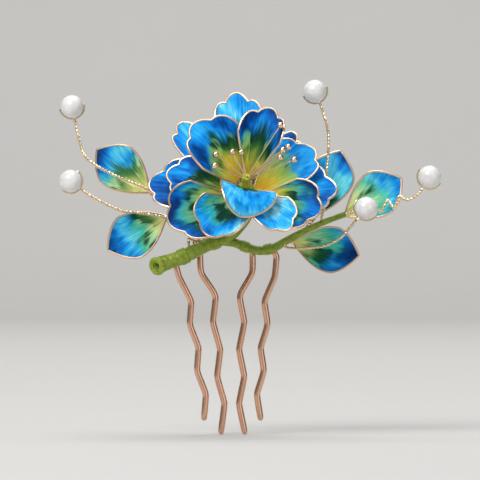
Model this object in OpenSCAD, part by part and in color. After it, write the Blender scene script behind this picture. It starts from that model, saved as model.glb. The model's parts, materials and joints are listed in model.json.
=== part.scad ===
// Flower hair comb: a wired silk peony with leaves and pearl sprays on a thread-wound branch,
// carried by two nested wavy hairpins.
// Frame: X to the wearer's right as seen from the front, Z up, the front faces -Y.
// The origin is on the branch line, midway between the prongs.

/* [Hairpins] */
// Diameter of the hairpin wire
pin_wire_d = 1.7; // [1.4:0.1:1.9]
// Width of the outer hairpin at the branch
outer_pin_w = 27; // [26:0.5:28]
// Distance between the legs of the outer hairpin at their shoulders
outer_shoulder_w = 25; // [24:0.5:26]
// Distance between the legs of the outer hairpin at the first grip wave
outer_waist_w = 20.4; // [19:0.2:21]
// Distance between the tips of the outer hairpin
outer_tip_w = 13.2; // [12.6:0.2:15]
// Length of the outer hairpin below the branch line
outer_pin_len = 42.4; // [40:0.2:45]
// Width of the inner hairpin at the branch
inner_pin_w = 13.8; // [13:0.2:14.6]
// Distance between the legs of the inner hairpin at their shoulders
inner_shoulder_w = 13.6; // [13:0.2:14.4]
// Distance between the legs of the inner hairpin at the first grip wave
inner_waist_w = 7.4; // [7:0.2:8]
// Distance between the tips of the inner hairpin
inner_tip_w = 4.6; // [4.4:0.2:6]
// Length of the inner hairpin below the branch line
inner_pin_len = 46; // [43:0.5:49]
// Sideways height of the grip waves in the legs, each way
pin_wave = 0.75; // [0.4:0.05:0.8]
// Inner bend radius where a hairpin turns down from the branch
pin_bend_r = 1.6; // [1.2:0.1:2]
// Inner bend radius of the grip waves
wave_bend_r = 3.2; // [2:0.1:4]
// Sideways lean of the legs
pin_lean = 2.2; // [1:0.2:4]

/* [Branch] */
// Diameter of the branch at its cut end
stub_d = 4.2; // [3.6:0.1:4.8]
// Diameter of the branch in its middle
stem_d = 3.4; // [2.8:0.1:4]
// Diameter of the side branch under the flower
side_d = 2.3; // [1.8:0.1:2.8]
// Diameter of the twig at the end of the side branch
twig_d = 1.5; // [1.2:0.1:1.8]
// Thickness of the thread bound round branch and hairpin
thread_t = 0.45; // [0.3:0.05:0.8]
// Width of each thread binding
binding_w = 2.6; // [2:0.1:4]

/* [Flower] */
// Angle of the flower's axis above the horizontal, towards the front
flower_tilt = 40; // [30:1:50]
// Length of the small petal that curls over at the front
curled_petal_len = 12.5; // [11:0.5:14]
// Length of the two cupped front petals
front_petal_len = 16; // [14:0.5:17]
// Length of the side petals
side_petal_len = 20.5; // [18:0.5:22]
// Length of the two upright back petals
back_petal_len = 21; // [20:0.2:24]
// Length of the outer side petals
outer_petal_len = 24; // [23:0.2:24.6]
// Length of the two tall outer petals at the back
tall_petal_len = 28; // [26.5:0.5:29]
// Diameter of the petal wire
petal_wire_d = 0.55; // [0.4:0.05:0.7]
// Thickness of the silk
silk_t = 0.3; // [0.2:0.05:0.4]
// Depth of the notches between the petal lobes, as a share of the petal length
lobe_depth = 0.08; // [0.04:0.01:0.16]
// Diameter of the receptacle that holds the petal wires
receptacle_d = 5; // [4.4:0.1:5.6]
// Diameter of the wound pistil
pistil_d = 2.6; // [2:0.1:3.4]
// Length of the pistil above the receptacle
pistil_len = 2.9; // [2.4:0.1:3.4]
// Diameter of the stamen wire
stamen_wire_d = 0.35; // [0.25:0.05:0.5]
// Diameter of the stamen beads
stamen_bead_d = 1.7; // [1.4:0.1:2]

/* [Leaves] */
// Length of a leaf
leaf_len = 17.5; // [15:0.5:19]
// Width of a leaf
leaf_w = 12; // [9:0.5:13]
// Diameter of the leaf wire
leaf_wire_d = 0.55; // [0.4:0.05:0.6]

/* [Pearls] */
// Diameter of a pearl
pearl_d = 6; // [5:0.1:6.6]
// Diameter of the single wire that passes through a pearl
spray_wire_d = 0.4; // [0.3:0.05:0.5]
// Running clearance of that wire in the pearl's bore, each side
pearl_clearance = 0.05; // [0.03:0.01:0.1]
// Distance between the centres of the outermost pearls, left and right
pearl_span = 93.5; // [90:0.5:97]

/* [Hidden] */
$fn = 48;
fit = 0.1;
thread_grip = 0.05;
wire_sides = 6;
pin_sides = 10;
bend_step = 15;
tip_angles = [35, 65, 82];
stem_sides = 12;

// Branch lines in the front plane, x and z, and the radius along each
stem_line = [[-18.4, -2.2], [-12.5, 0], [-9.4, 1.4], [-6, 3.1], [-1.6, 4.9]];
stub_line = [[-18.2, -1.9, -2], [-17, -0.75, -1.5], [-15.2, -0.1, -0.9]];
side_line = [
    [-1.5, 4.3], [1.8, 3.9], [6.2, 2.3], [8.8, 1.9], [11.7, 2.5], [15.9, 4.9], [20.3, 7.3], [25.2, 9.4],
    [30.6, 11.4]
];
stem_girth = [[-18.4, stub_d / 2], [-6, stem_d / 2]];
side_girth = [[11.7, side_d / 2], [20.3, twig_d / 2]];

// Places of the branch and the hairpins, front to back
pin_r = pin_wire_d / 2;
outer_pin_y = max(stub_d, stem_d) / 2 + pin_r + fit;
inner_pin_y = outer_pin_y + pin_wire_d + fit;
side_y = outer_pin_y - pin_r - fit - side_d / 2;

// Hairpin lines: the crown along the back of the branch, then a shoulder and the grip waves in each leg
pin_centre = -0.5;
pin_waves = 5;
outer_shoulder_drop = 5;
inner_shoulder_drop = 3.9;
outer_wave_drop = 11.4;
inner_wave_drop = 9.9;
crown_top = [-1, 4.6];
outer_left = pin_centre - outer_pin_w / 2;
outer_right = pin_centre + outer_pin_w / 2;
inner_left = pin_centre - inner_pin_w / 2;
inner_right = pin_centre + inner_pin_w / 2;
outer_crown = [
    [outer_left, lookup(outer_left, stem_line)], stem_line[3], crown_top, side_line[2], side_line[3],
    [outer_right, lookup(outer_right, side_line)]
];
inner_crown = [
    [inner_left, lookup(inner_left, stem_line)], crown_top, [inner_right, lookup(inner_right, side_line)]
];

// Flower
heart = [4.7, -8.5, 17.2];
flower_axis = [0, -cos(flower_tilt), sin(flower_tilt)];
receptacle_low = -7;
receptacle_top = 2.4;
petal_root = pistil_d / 2 + 0.2;
petal_claw = 2.2;
wire_root = 0.6;
petal_shoulder = 0.3;
rim_steps = 18;
web_steps = 4;

// Petals: azimuth round the flower's axis, seat height, opening angle at the base and at the tip,
// length, half angle of the fan, cup radius, roll, lobes
petals = [
    [140, 1, 30, 76, back_petal_len, 38, 18, 0, 3],
    [68, 1.5, 24, 76, back_petal_len, 25.5, 14, 0, 3],
    [38, -3.2, 66, 90, side_petal_len + 0.7, 33, 24, 0, 3],
    [160.5, -3.4, 70, 96, side_petal_len, 28, 40, -12, 3],
    [-23, -2.8, 66, 88, side_petal_len - 0.6, 34, 40, 12, 3],
    [205, -2.4, 80, 96, side_petal_len, 40, 30, -9, 3],
    [235.2, -0.75, 73, 108, front_petal_len, 46.3, 12, 0, 3],
    [-51, -0.1, 76, 98, front_petal_len, 34, 10, 0, 3],
    [-85, 2.2, 18, 148, curled_petal_len, 63, 30, -17, 1],
    [96, -3.6, 45, 80, tall_petal_len, 20, 22, 0, 3],
    [126, -5.8, 65, 93, tall_petal_len + 0.6, 19, 24, 0, 3],
    [164, -6, 76, 98, outer_petal_len + 0.8, 32, 24, 0, 3],
    [5, -5.4, 66, 92, outer_petal_len - 1.4, 33, 24, 0, 3],
    [58.5, -4.6, 68, 90, outer_petal_len - 1, 18, 24, 0, 3]
];

// Stamens: azimuth, opening angle, length and how much higher than the others it leaves the pistil
stamens = [
    [158, 55, 10.3, 0], [183, 55, 9.9, 0], [138, 35, 8.4, 0], [108, 36.4, 7, 0.3], [46, 50, 16.5, 0],
    [20, 52.9, 14.4, -0.65], [14, 48.8, 12.8, 0.25], [6, 49.3, 11.6, -0.2], [4, 58.1, 14.5, -1.1]
];

// Leaves: base point, heading in the front plane, lean towards the back, curl, fold
leaf_rows = 9;
leaf_columns = 4;
leaf_widest = 0.6;
leaf_end = 0.97;
leaf_y = 3.9;
leaves = [
    [[-20.8, leaf_y, 17.4], 141, 3, 30, 8],
    [[-16.4, leaf_y, 10.7], 210, -2, 28, 8],
    [[23.4, leaf_y, 11.7], 70, 4, 30, 8],
    [[17.2, leaf_y, 4.2], -12, -2, 28, 8],
    [[30.9, leaf_y, 11.2], 34, 2, 30, 8]
];

// Leaf stems, from the branch to the leaf, and half the distance between their two strands
leaf_stems = [
    [[-7, 1, 3.7], [-10, 2.2, 8.2], [-15, 3.3, 13]],
    [[-8.1, 1, 3.2], [-11, 2.7, 7.2]],
    [[20.3, 1.1, 7.4], [21.6, 2.6, 9.2]],
    [[14.2, 1.2, 4], [15.6, 2.6, 4.2]],
    [[28.6, 1.1, 10.6], [29.7, 2.6, 10.9]]
];
strand_half = 0.36;

// Pearl sprays: the twisted stalk's points in the front plane, the pearl's centre there, and how far the
// pearl stands forward of its stalk's root
stalk_d = spray_wire_d * 1.8;
stalk_y = 0.6;
root_gap = 0.15;
over_stalk = pearl_d / 2 + stalk_d / 2 + 0.4;
sprays = [
    [[[-12.6, 12], [-21.3, 18], [-28, 20.8], [-34.6, 24.2], [-37.6, 27], [-38.6, 30.2], [-39.5, 33.8]],
        [-40.6, 39.4], 0],
    [[[-10.5, 6.8], [-13.4, 9.2], [-17.8, 10.8], [-23.8, 11.8], [-28.1, 12.4], [-34.1, 15.2], [-36.8, 16.8]],
        [-41, 20], 0],
    [[[17.7, 2.5], [21.6, 2.7], [24.9, 3.1], [27.8, 4.3], [30.1, 6.1], [32.6, 9]],
        [35.9, 12.9], over_stalk],
    [[[34, 12], [38.5, 12.4], [39.9, 12.1], [41.4, 15], [43.2, 13.1], [44.5, 16], [46, 15.1], [47.6, 15.3],
        [49.6, 16.8]], [52.5, 21.1], 0],
    [[[25, 13], [25.3, 16], [25.6, 22], [26.1, 28], [26, 33], [24.7, 38]],
        [22.6, 43.4], 0]
];

// The outer sprays lean out by half of what the span adds to the one drawn above
spray_sides = [-1, -1, 0, 1, 0];
lean_out = (pearl_span - sprays[3][1][0] + sprays[1][1][0]) / 2;
function spray_end(i) = sprays[i][1] + [spray_sides[i] * lean_out, 0];
function spray_line(i) =
    let (p = sprays[i][0], n = len(p) + 1)
    [for (k = [1 : n - 1]) p[k - 1] + [spray_sides[i] * lean_out * k / n, 0]];

// Point beside a branch, far enough out for a stalk to clear it
function beside(line, girth, x, side) =
    let (slope = atan2(lookup(x + 1, line) - lookup(x - 1, line), 2))
    [x, lookup(x, line)] + side * [-sin(slope), cos(slope)] * (lookup(x, girth) + stalk_d / 2 + root_gap);

stalk_roots = [
    beside(stem_line, stem_girth, -5.6, 1),
    beside(stem_line, stem_girth, -9.2, 1),
    beside(side_line, side_girth, 14.4, -1),
    side_line[len(side_line) - 1] + [0.26, 0.1],
    beside(side_line, side_girth, 24.8, 1)
];

letters = ["a", "b", "c", "d", "e"];
petal_names = [for (i = [1 : len(petals)]) str("petal_", i < 10 ? "0" : "", i)];
leaf_names = [for (i = [1 : len(leaves)]) str("leaf_", i)];

gold = "#e3b98f";
copper = "#b07a5a";
thread_green = "#8a9a38";
pistil_green = "#b8b048";
silk_blue = "#2478c8";
silk_green = "#1f7a5a";
pearl_white = "#ece8e2";

// Vector and curve helpers

function unit(v) = v / norm(v);
function last(list) = list[len(list) - 1];
function reversed(list) = [for (i = [len(list) - 1 : -1 : 0]) list[i]];

// Point of a Catmull-Rom curve, a share t of the way from point i to the next
function curve_point(p, i, t) =
    let (a = p[max(i - 1, 0)], b = p[i], c = p[i + 1], d = p[min(i + 2, len(p) - 1)])
    (2 * b + (c - a) * t + (2 * a - 5 * b + 4 * c - d) * t * t + (3 * b - a - 3 * c + d) * t * t * t) / 2;

function curve(p, steps) = concat(
    [for (i = [0 : len(p) - 2]) for (s = [0 : steps - 1]) curve_point(p, i, s / steps)],
    [last(p)]
);

function tangents(path) = [
    for (i = [0 : len(path) - 1]) unit(path[min(i + 1, len(path) - 1)] - path[max(i - 1, 0)])
];

// Round tube along a path, with one radius and one sideways direction for each of its points
module tube(path, radii, ups, sides) {
    n = len(path);
    along = tangents(path);
    rings = [
        for (i = [0 : n - 1])
            let (across = unit(cross(along[i], ups[i])), up = cross(across, along[i]))
                for (k = [0 : sides - 1])
                    path[i] + radii[i] * (up * cos(360 * k / sides) + across * sin(360 * k / sides))
    ];
    walls = [
        for (i = [0 : n - 2])
            for (k = [0 : sides - 1])
                let (a = i * sides + k, b = i * sides + (k + 1) % sides)
                    each [[a, b + sides, b], [a, a + sides, b + sides]]
    ];
    first_cap = [for (k = [1 : sides - 2]) [0, k, k + 1]];
    end = (n - 1) * sides;
    last_cap = [for (k = [1 : sides - 2]) [end, end + k + 1, end + k]];
    polyhedron(points = rings, faces = concat(walls, first_cap, last_cap));
}

// Thin solid between two grids of points
module sheet(front, back) {
    rows = len(front);
    columns = len(front[0]);
    count = rows * columns;
    function at(i, j) = i * columns + j;
    faces_front = [
        for (i = [0 : rows - 2]) for (j = [0 : columns - 2])
            each [[at(i, j), at(i + 1, j + 1), at(i, j + 1)], [at(i, j), at(i + 1, j), at(i + 1, j + 1)]]
    ];
    faces_back = [for (f = faces_front) [f[2] + count, f[1] + count, f[0] + count]];
    border = concat(
        [for (j = [0 : columns - 2]) at(0, j)],
        [for (i = [0 : rows - 2]) at(i, columns - 1)],
        [for (j = [columns - 1 : -1 : 1]) at(rows - 1, j)],
        [for (i = [rows - 1 : -1 : 1]) at(i, 0)]
    );
    faces_edge = [
        for (k = [0 : len(border) - 1])
            let (a = border[k], b = border[(k + 1) % len(border)])
                each [[a, b + count, a + count], [a, b, b + count]]
    ];
    polyhedron(
        points = concat([for (row = front) each row], [for (row = back) each row]),
        faces = concat(faces_front, faces_back, faces_edge)
    );
}

// Hairpins

function turned(v, angle) = [v[0] * cos(angle) - v[1] * sin(angle), v[0] * sin(angle) + v[1] * cos(angle)];

// Points of a wire through corner points, with each inner corner rounded to its own bend radius
function bent_path(p, bends) = [
    for (i = [0 : len(p) - 1])
        if (i == 0 || i == len(p) - 1) p[i]
        else let (
            before = unit(p[i] - p[i - 1]),
            after = unit(p[i + 1] - p[i]),
            side = cross(before, after) > 0 ? 1 : -1,
            turn = acos(before * after),
            start = p[i] - before * bends[i] * tan(turn / 2),
            centre = start + side * bends[i] * [-before[1], before[0]],
            steps = ceil(turn / bend_step)
        )
            for (k = [0 : steps]) centre + turned(start - centre, side * turn * k / steps)
];

// Corner points of one leg, from its shoulder to the tip
function leg(side, shoulder_w, shoulder_drop, waist_w, tip_w, wave_drop, length) = concat(
    [[side * shoulder_w / 2 + shoulder_drop * tan(pin_lean) + pin_centre, -shoulder_drop]],
    [
        for (k = [0 : pin_waves])
            let (
                share = k / pin_waves,
                drop = wave_drop + (length - pin_r - wave_drop) * share,
                half = (waist_w + (tip_w - waist_w) * share) / 2 + (k % 2 == 0 ? -pin_wave : pin_wave)
            )
                [side * half + drop * tan(pin_lean) + pin_centre, -drop]
    ]
);

module hairpin(y, crown, left, right) {
    points = concat(reversed(left), crown, right);
    corners = [len(left), len(left) + len(crown) - 1];
    bends = [
        for (i = [0 : len(points) - 1])
            pin_r + (i == corners[0] || i == corners[1] ? pin_bend_r : wave_bend_r)
    ];
    line = bent_path(points, bends);
    left_way = unit(points[0] - points[1]);
    right_way = unit(points[len(points) - 1] - points[len(points) - 2]);
    path = concat(
        [for (a = reversed(tip_angles)) points[0] + left_way * pin_r * sin(a)],
        line,
        [for (a = tip_angles) last(points) + right_way * pin_r * sin(a)]
    );
    radii = concat(
        [for (a = reversed(tip_angles)) pin_r * cos(a)],
        [for (q = line) pin_r],
        [for (a = tip_angles) pin_r * cos(a)]
    );
    tube([for (q = path) [q[0], y, q[1]]], radii, [for (q = path) [0, 1, 0]], pin_sides);
}

function outer_leg(side) = leg(side, outer_shoulder_w, outer_shoulder_drop, outer_waist_w, outer_tip_w,
    outer_wave_drop, outer_pin_len);

module outer_hairpin() {
    color(copper) hairpin(outer_pin_y, outer_crown, outer_leg(-1), outer_leg(1));
}

function inner_leg(side) = leg(side, inner_shoulder_w, inner_shoulder_drop, inner_waist_w, inner_tip_w,
    inner_wave_drop, inner_pin_len);

module inner_hairpin() {
    color(copper) hairpin(inner_pin_y, inner_crown, inner_leg(-1), inner_leg(1));
}

// Branch

module main_stem() {
    foot = heart + flower_axis * receptacle_low;
    line = concat(
        stub_line,
        [for (i = [1 : len(stem_line) - 1]) [stem_line[i][0], 0, stem_line[i][1]]],
        [[1.6, -0.2, 7], foot - flower_axis * 2.6, foot + flower_axis * 0.4]
    );
    path = curve(line, 4);
    radii = [for (p = path) lookup(p[0], stem_girth)];
    color(thread_green) tube(path, radii, [for (p = path) [1, 0, 0]], stem_sides);
}

module side_branch() {
    path = [for (p = curve(side_line, 3)) [p[0], side_y, p[1]]];
    radii = [for (p = path) lookup(p[0], side_girth)];
    color(thread_green) tube(path, radii, [for (p = path) [0, 1, 0]], stem_sides);
}

// Band of thread drawn tight round the branch at x and the hairpin crowns behind it
module binding(x, line, girth, y, crowns) {
    z = lookup(x, line);
    slope = atan2(lookup(x + 1, line) - lookup(x - 1, line), 2);
    module outline(grow) {
        hull() {
            circle(r = lookup(x, girth) + grow, $fn = 20);
            for (c = crowns)
                translate([c[0] - y, (lookup(x, c[1]) - z) * cos(slope)])
                    circle(r = pin_r + grow, $fn = 20);
        }
    }
    translate([x, y, z]) rotate([0, -slope, 0]) rotate([90, 0, 90])
        linear_extrude(binding_w, center = true)
            difference() {
                outline(thread_t);
                outline(-thread_grip);
            }
}

module binding_threads() {
    outer = [outer_pin_y, outer_crown];
    inner = [inner_pin_y, inner_crown];
    color(thread_green) {
        binding(-11.6, stem_line, stem_girth, 0, [outer]);
        binding(-3.6, stem_line, stem_girth, 0, [outer, inner]);
        binding(4.4, side_line, side_girth, side_y, [outer, inner]);
        binding(10.6, side_line, side_girth, side_y, [outer]);
    }
}

// Flower

module in_flower() {
    translate(heart) rotate([90 - flower_tilt, 0, 0]) children();
}

function petal_rim(p, a) =
    let (t = a / p[5])
    p[4] * (1 - petal_shoulder * t * t)
        * (1 - lobe_depth * (1 - pow(abs(sin(90 * p[8] * (t + 1))), 0.7)));

// Point of a petal at an angle from its spine and a distance from its base, lifted off the silk
function petal_point(p, a, r, lift) =
    let (
        v = r * cos(a),
        bend = (p[3] - p[2]) / p[4],
        open = p[2] + bend * v,
        turn = 180 / PI / bend,
        out = petal_root + (cos(p[2]) - cos(open)) * turn,
        up = p[1] + (sin(open) - sin(p[2])) * turn,
        curl = r * sin(a) / p[6] * 180 / PI,
        across = p[6] * sin(curl) - lift * sin(curl),
        rise = p[6] * (1 - cos(curl)) + lift * cos(curl),
        side = across * cos(p[7]) - rise * sin(p[7]),
        high = across * sin(p[7]) + rise * cos(p[7]),
        radius = out - high * cos(open),
        height = up + high * sin(open)
    )
    [radius * cos(p[0]) - side * sin(p[0]), radius * sin(p[0]) + side * cos(p[0]), height];

// Angle and distance of each point along a petal's wire
function petal_border(p) =
    let (
        fan = p[5],
        edge = petal_rim(p, fan),
        rise = (edge - petal_claw) / 3,
        up = [wire_root, petal_claw, petal_claw + rise, petal_claw + 2 * rise]
    )
    concat(
        [for (r = up) [-fan, r]],
        [for (i = [0 : rim_steps]) let (a = fan * (2 * i / rim_steps - 1)) [a, petal_rim(p, a)]],
        [for (r = reversed(up)) [fan, r]]
    );

module petal_wire(p) {
    border = petal_border(p);
    path = [for (b = border) petal_point(p, b[0], b[1], 0)];
    ups = [for (b = border) petal_point(p, b[0], b[1], 1) - petal_point(p, b[0], b[1], 0)];
    color(gold) in_flower() tube(path, [for (b = border) petal_wire_d / 2], ups, wire_sides);
}

function petal_web(p, lift) = [
    for (i = [0 : rim_steps])
        let (a = p[5] * (2 * i / rim_steps - 1), step = (petal_rim(p, a) - petal_claw) / web_steps)
            [for (j = [0 : web_steps]) petal_point(p, a, petal_claw + step * j, lift)]
];

module petal_silk(p) {
    color(silk_blue) in_flower() sheet(petal_web(p, silk_t / 2), petal_web(p, -silk_t / 2));
}

module receptacle() {
    r = receptacle_d / 2;
    neck = r - 0.7;
    color(thread_green) in_flower()
        rotate_extrude()
            polygon([
                [0, receptacle_low], [stem_d / 2, receptacle_low], [r, receptacle_low + 1.6], [r, 0.4],
                [neck, 1], [neck, receptacle_top], [0, receptacle_top]
            ]);
}

module pistil() {
    tip_d = pistil_d * 0.85;
    color(pistil_green) in_flower() translate([0, 0, receptacle_top]) {
        cylinder(d1 = pistil_d, d2 = tip_d, h = pistil_len);
        translate([0, 0, pistil_len]) sphere(d = tip_d);
    }
}

module stamen_place(s) {
    seat = receptacle_top + pistil_len * 0.85 + s[3];
    in_flower() translate([0, 0, seat]) rotate([0, s[1], s[0]]) children();
}

module stamen_filaments() {
    start = pistil_d * 0.42;
    color(gold) for (s = stamens) stamen_place(s)
        translate([0, 0, start]) cylinder(d = stamen_wire_d, h = s[2] - start);
}

// Each bead sits on the end of its filament, with its bore open to the outside
module stamen_beads() {
    color(gold) for (s = stamens) stamen_place(s) translate([0, 0, s[2]]) difference() {
        sphere(d = stamen_bead_d);
        cylinder(d = stamen_bead_d * 0.4, h = stamen_bead_d);
    }
}

// Leaves

// Half width of a leaf a share t of the way from its base to its tip
function leaf_half(t) = leaf_w / 2 * (t < leaf_widest
    ? 0.08 + 0.92 * sin(90 * t / leaf_widest)
    : 1 - pow((t - leaf_widest) / (1 - leaf_widest), 1.7));

// Point of a leaf a share t along it and a distance u to its left, lifted off the silk
function leaf_point(l, t, u, lift) =
    let (
        bend = l[3] / leaf_len,
        turn = 180 / PI / bend,
        angle = l[2] - l[3] / 2 + bend * t * leaf_len,
        start = l[2] - l[3] / 2,
        along = (sin(angle) - sin(start)) * turn,
        back = (cos(start) - cos(angle)) * turn,
        tilt = u < 0 ? -l[4] : l[4],
        side = u * cos(tilt) + lift * sin(tilt),
        rise = -abs(u) * sin(l[4]) - lift * cos(tilt),
        x = along - rise * sin(angle),
        y = back + rise * cos(angle)
    )
    l[0] + [x * cos(l[1]) - side * sin(l[1]), y, x * sin(l[1]) + side * cos(l[1])];

function leaf_share(i) = leaf_end * i / leaf_rows;

module leaf_wire(l, stem) {
    shares = [for (i = [0 : leaf_rows]) leaf_share(i)];
    outline = concat(
        [for (t = shares) [t, leaf_half(t)]],
        [[1, 0]],
        [for (t = reversed(shares)) [t, -leaf_half(t)]]
    );
    loop = [for (o = outline) leaf_point(l, o[0], o[1], 0)];
    loop_ups = [for (o = outline) leaf_point(l, o[0], o[1], 1) - leaf_point(l, o[0], o[1], 0)];
    next = concat([for (i = [1 : 1 : len(stem) - 1]) stem[i]], [l[0]]);
    aside = [for (i = [0 : len(stem) - 1]) unit(cross([0, 1, 0], next[i] - stem[i])) * -strand_half];
    there = [for (i = [0 : len(stem) - 1]) stem[i] + aside[i]];
    back = [for (i = [len(stem) - 1 : -1 : 0]) stem[i] - aside[i]];
    path = concat(there, loop, back);
    ups = concat([for (s = stem) [0, -1, 0]], loop_ups, [for (s = stem) [0, -1, 0]]);
    color(gold) tube(path, [for (p = path) leaf_wire_d / 2], ups, wire_sides);
}

function leaf_web(l, lift) = [
    for (i = [0 : leaf_rows])
        let (t = leaf_share(i), half = leaf_half(t))
            [for (j = [0 : leaf_columns]) leaf_point(l, t, half * (1 - 2 * j / leaf_columns), lift)]
];

module leaf_silk(l) {
    color(silk_green) sheet(leaf_web(l, silk_t / 2), leaf_web(l, -silk_t / 2));
}

// Pearl sprays

function pearl_place(i) =
    let (c = spray_end(i))
    [c[0], stalk_y - sprays[i][2], c[1]];

// The pearl's bore lies across the end of its stalk, in the front plane
function spray_heading(i) = let (way = spray_end(i) - last(spray_line(i))) atan2(way[1], way[0]);

module at_pearl(i) {
    translate(pearl_place(i)) rotate([0, -spray_heading(i), 0]) children();
}

// Distance from the pearl's centre to the wire that hugs it
cradle_r = pearl_d / 2 + pearl_clearance + spray_wire_d / 2;

// Half ring of wire under the pearl, and the wire through its bore
module pearl_cradle(i) {
    at_pearl(i) {
        rotate([90, 0, 0]) rotate([0, 0, 90]) rotate_extrude(angle = 180)
            translate([cradle_r, 0]) circle(d = spray_wire_d * 0.9);
        cylinder(d = spray_wire_d, h = 2 * cradle_r + spray_wire_d, center = true);
    }
}

module stalk(i) {
    heading = spray_heading(i);
    reach = cradle_r - 0.08;
    foot = spray_end(i) - [cos(heading), sin(heading)] * reach;
    line = concat([stalk_roots[i]], spray_line(i), [foot]);
    n = len(line) - 1;
    path = curve([for (k = [0 : n]) [line[k][0], stalk_y - sprays[i][2] * pow(k / n, 2), line[k][1]]], 3);
    color(gold) {
        tube(path, [for (p = path) stalk_d / 2], [for (p = path) [0, 1, 0]], wire_sides);
        pearl_cradle(i);
    }
}

module pearl(i) {
    color(pearl_white) at_pearl(i) difference() {
        sphere(d = pearl_d);
        cylinder(d = spray_wire_d + 2 * pearl_clearance, h = pearl_d + 1, center = true);
    }
}

outer_hairpin();
inner_hairpin();
main_stem();
side_branch();
binding_threads();
receptacle();
pistil();
stamen_filaments();
stamen_beads();
for (i = [0 : len(petals) - 1]) {
    petal_wire(petals[i]);
    petal_silk(petals[i]);
}
for (i = [0 : len(leaves) - 1]) {
    leaf_wire(leaves[i], leaf_stems[i]);
    leaf_silk(leaves[i]);
}
for (i = [0 : len(letters) - 1]) {
    stalk(i);
    pearl(i);
}
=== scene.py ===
"""Looks of the flower hair comb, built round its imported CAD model.

Dyed silk webs in bent wire, a thread-wound branch, pearl sprays of twisted wire and two polished hairpins.
"""

import json
from collections import namedtuple
from math import asin, atan2, cos, degrees, hypot, pi, radians, sin, sqrt

import bpy
from mathutils import Matrix, Vector, noise

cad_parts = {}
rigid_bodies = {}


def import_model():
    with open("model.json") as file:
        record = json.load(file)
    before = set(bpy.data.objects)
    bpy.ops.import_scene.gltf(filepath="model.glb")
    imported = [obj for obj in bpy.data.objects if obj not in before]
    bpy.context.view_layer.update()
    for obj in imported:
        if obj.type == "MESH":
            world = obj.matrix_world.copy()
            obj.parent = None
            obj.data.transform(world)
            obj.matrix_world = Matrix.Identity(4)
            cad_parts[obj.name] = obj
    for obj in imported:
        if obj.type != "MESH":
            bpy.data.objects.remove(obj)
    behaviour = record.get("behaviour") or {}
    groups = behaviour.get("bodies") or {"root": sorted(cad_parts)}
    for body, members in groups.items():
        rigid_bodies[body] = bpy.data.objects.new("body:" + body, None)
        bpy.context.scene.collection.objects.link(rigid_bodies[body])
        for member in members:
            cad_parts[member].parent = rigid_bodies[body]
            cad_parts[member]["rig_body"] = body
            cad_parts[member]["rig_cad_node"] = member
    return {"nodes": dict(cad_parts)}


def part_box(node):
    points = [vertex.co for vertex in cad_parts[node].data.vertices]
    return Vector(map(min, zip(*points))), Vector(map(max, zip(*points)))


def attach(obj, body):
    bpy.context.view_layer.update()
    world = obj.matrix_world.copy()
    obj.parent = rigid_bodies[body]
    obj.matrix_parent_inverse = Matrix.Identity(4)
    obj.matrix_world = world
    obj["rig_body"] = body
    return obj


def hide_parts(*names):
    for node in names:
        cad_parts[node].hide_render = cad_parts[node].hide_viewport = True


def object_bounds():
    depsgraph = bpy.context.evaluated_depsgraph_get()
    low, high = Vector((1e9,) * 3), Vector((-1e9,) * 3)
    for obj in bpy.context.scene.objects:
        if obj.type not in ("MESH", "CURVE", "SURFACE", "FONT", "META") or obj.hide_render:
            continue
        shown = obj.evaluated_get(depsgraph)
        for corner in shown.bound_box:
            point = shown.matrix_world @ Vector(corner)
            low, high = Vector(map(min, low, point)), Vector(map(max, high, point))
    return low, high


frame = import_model()
cad_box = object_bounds()

bl_info = {
    "name": "Flower hair comb",
    "version": (1, 0, 0),
    "blender": (4, 5, 0),
    "location": "View3D > Sidebar > Comb",
    "description": "Models a wired silk flower comb with pearl sprays",
    "category": "Object",
}

MM = 0.001
TURN = 2 * pi

# Points of a mesh that are closer than this, in metres, are merged
MERGE = 1e-6

# Branch lines in the front plane, x and z, with the radius along each, as in part.scad, in mm
STEM_LINE = [(-18.4, -2.2), (-12.5, 0), (-9.4, 1.4), (-6, 3.1), (-1.6, 4.9)]
SIDE_LINE = [
    (-1.5, 4.3), (1.8, 3.9), (6.2, 2.3), (8.8, 1.9), (11.7, 2.5), (15.9, 4.9), (20.3, 7.3), (25.2, 9.4),
    (30.6, 11.4),
]
STEM_GIRTH = [(-18.4, 2.1), (-6, 1.7)]
SIDE_GIRTH = [(11.7, 1.15), (20.3, 0.75)]
STEM_ELBOW = (1.6, -0.2, 7)
STEM_STRAIGHT = 2.6
STEM_INSET = 0.4
STUB = [(-18.2, -1.9, -2), (-17, -0.75, -1.5), (-15.2, -0.1, -0.9)]
SIDE_Y = 0.95
BRANCH_STEP = 0.25
UNEVEN = 0.05
UNEVEN_RATE = 0.7

# Floss on the branch, in shares of its diameter: how deep its turns sink in, how far the core fills the
# furrows between them and how far apart they are
FLOSS_SINK = 0.36
FLOSS_FILL = 0.26
FLOSS_PITCH = 0.86

# Rolled end of the stub, turn by turn: share of the radius and height in mm. Its thread is so much thicker
STUB_SHARES = [1, 1.1, 1.08, 0.9, 0.66, 0.5, 0.36, 0.06]
STUB_HEIGHTS = [0, 0.2, 0.6, 0.8, 0.55, 0, -0.6, -0.9]
STUB_THREAD = 1.7

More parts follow.
